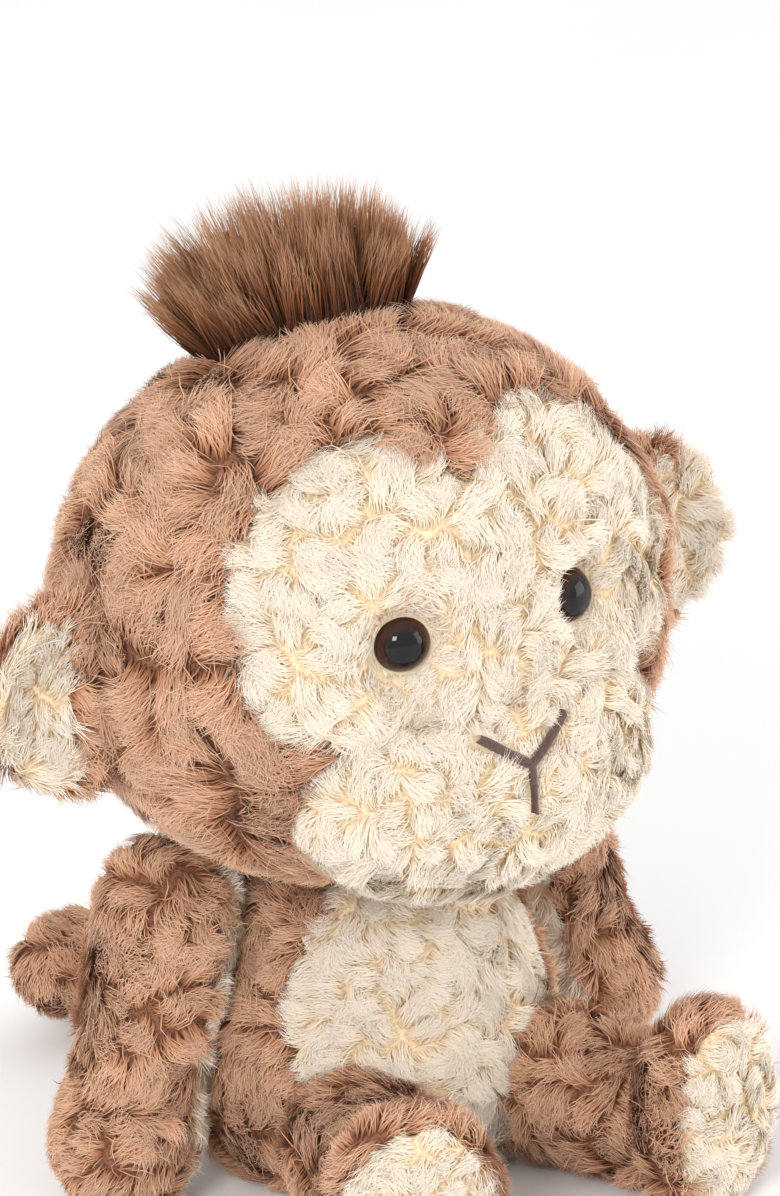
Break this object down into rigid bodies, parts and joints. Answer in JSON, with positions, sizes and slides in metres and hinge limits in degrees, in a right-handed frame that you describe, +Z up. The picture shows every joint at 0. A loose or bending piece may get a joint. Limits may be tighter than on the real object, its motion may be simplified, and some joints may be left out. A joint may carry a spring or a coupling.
{
  "type": "plush_monkey",
  "caption": "Seated stuffed monkey with a big round head, cream heart-shaped face and muzzle, cupped ears, a long-haired topknot, jointed limbs and a curled tail",
  "frame": {"origin": "centre of the flat seat, on the ground", "axes": "+Z up, the face looks along -Y, the monkey's left side is +X"},
  "size_m": [0.2122, 0.214, 0.252],
  "materials": {
    "brown_pile": "clumped medium-length plush pile",
    "cream_pile": "short curly plush pile",
    "dark_pile": "long straight plush pile",
    "fibre_fill": "loose polyester fibre",
    "pouch_cloth": "plain woven lining cloth",
    "plastic_beads": "small round pellets",
    "label_tape": "blank satin tape",
    "brown_thread": "satin-stitched embroidery thread",
    "eye_plastic": "polished, dark brown rim round a black pupil",
    "washer_plastic": "moulded locking washer"
  },
  "bodies": {
    "torso": {"body_skin": "brown_pile", "belly_panel": "cream_pile", "torso_fill": "fibre_fill", "bead_pouch": "pouch_cloth", "bead_fill": "plastic_beads", "care_label": "label_tape", "closing_seam": "brown_thread"},
    "neck": {"neck_wad": "fibre_fill"},
    "head": {"head_skin": "brown_pile", "face_panel": "cream_pile", "muzzle_panel": "cream_pile", "muzzle_fill": "fibre_fill", "head_fill": "fibre_fill", "mouth_thread": "brown_thread", "topknot": "dark_pile", "eye_left": "eye_plastic", "eye_right": "eye_plastic", "eye_washer_left": "washer_plastic", "eye_washer_right": "washer_plastic"},
    "ear_left": {"ear_back_left": "brown_pile", "ear_lining_left": "cream_pile"},
    "shoulder_left": {"shoulder_wad_left": "fibre_fill"},
    "arm_left": {"arm_skin_left": "brown_pile", "arm_lining_left": "cream_pile", "arm_fill_left": "fibre_fill"},
    "hip_left": {"hip_wad_left": "fibre_fill"},
    "leg_left": {"leg_skin_left": "brown_pile", "sole_left": "cream_pile", "leg_fill_left": "fibre_fill"},
    "ear_right": {"ear_back_right": "brown_pile", "ear_lining_right": "cream_pile"},
    "shoulder_right": {"shoulder_wad_right": "fibre_fill"},
    "arm_right": {"arm_skin_right": "brown_pile", "arm_lining_right": "cream_pile", "arm_fill_right": "fibre_fill"},
    "hip_right": {"hip_wad_right": "fibre_fill"},
    "leg_right": {"leg_skin_right": "brown_pile", "sole_right": "cream_pile", "leg_fill_right": "fibre_fill"},
    "tail_root": {"tail_wad": "fibre_fill"},
    "tail": {"tail_skin": "brown_pile", "tail_fill": "fibre_fill"}
  },
  "joints": [
    {"name": "neck_turn", "type": "hinge", "parent": "torso", "child": "neck", "pos_m": [0, 0, 0.084], "axis": [0, 0, 1], "range_deg": [-20, 20], "stiffness_Nm_per_rad": 0.5},
    {"name": "head_nod", "type": "hinge", "parent": "neck", "child": "head", "pos_m": [0, 0, 0.084], "axis": [1, 0, 0], "range_deg": [-10, 8], "stiffness_Nm_per_rad": 2},
    {"name": "ear_left_fold", "type": "hinge", "parent": "head", "child": "ear_left", "pos_m": [0.0821, -0.012, 0.147], "axis": [0, 0, -1], "range_deg": [-20, 20], "stiffness_Nm_per_rad": 0.02},
    {"name": "arm_left_swing", "type": "hinge", "parent": "torso", "child": "shoulder_left", "pos_m": [0.054, 0.002, 0.077], "axis": [-1, 0, 0], "range_deg": [-30, 90], "stiffness_Nm_per_rad": 0.05},
    {"name": "arm_left_spread", "type": "hinge", "parent": "shoulder_left", "child": "arm_left", "pos_m": [0.054, 0.002, 0.077], "axis": [0, -1, 0], "range_deg": [0, 60], "stiffness_Nm_per_rad": 0.05},
    {"name": "leg_left_lift", "type": "hinge", "parent": "torso", "child": "hip_left", "pos_m": [0.029, -0.043, 0.02], "axis": [-1, 0, 0], "range_deg": [-40, 18], "stiffness_Nm_per_rad": 0.1},
    {"name": "leg_left_part", "type": "hinge", "parent": "hip_left", "child": "leg_left", "pos_m": [0.029, -0.043, 0.02], "axis": [0, 0, 1], "range_deg": [-6, 22], "stiffness_Nm_per_rad": 0.1},
    {"name": "ear_right_fold", "type": "hinge", "parent": "head", "child": "ear_right", "pos_m": [-0.0821, -0.012, 0.147], "axis": [0, 0, 1], "range_deg": [-20, 20], "stiffness_Nm_per_rad": 0.02},
    {"name": "arm_right_swing", "type": "hinge", "parent": "torso", "child": "shoulder_right", "pos_m": [-0.054, 0.002, 0.077], "axis": [-1, 0, 0], "range_deg": [-30, 90], "stiffness_Nm_per_rad": 0.05},
    {"name": "arm_right_spread", "type": "hinge", "parent": "shoulder_right", "child": "arm_right", "pos_m": [-0.054, 0.002, 0.077], "axis": [0, 1, 0], "range_deg": [0, 60], "stiffness_Nm_per_rad": 0.05},
    {"name": "leg_right_lift", "type": "hinge", "parent": "torso", "child": "hip_right", "pos_m": [-0.029, -0.043, 0.02], "axis": [-1, 0, 0], "range_deg": [-40, 18], "stiffness_Nm_per_rad": 0.1},
    {"name": "leg_right_part", "type": "hinge", "parent": "hip_right", "child": "leg_right", "pos_m": [-0.029, -0.043, 0.02], "axis": [0, 0, -1], "range_deg": [-6, 22], "stiffness_Nm_per_rad": 0.1},
    {"name": "tail_sway", "type": "hinge", "parent": "torso", "child": "tail_root", "pos_m": [0, 0.051, 0.016], "axis": [0, 0, 1], "range_deg": [-20, 20], "stiffness_Nm_per_rad": 0.04},
    {"name": "tail_lift", "type": "hinge", "parent": "tail_root", "child": "tail", "pos_m": [0, 0.051, 0.016], "axis": [1, 0, 0], "range_deg": [0, 28], "stiffness_Nm_per_rad": 0.06}
  ]
}
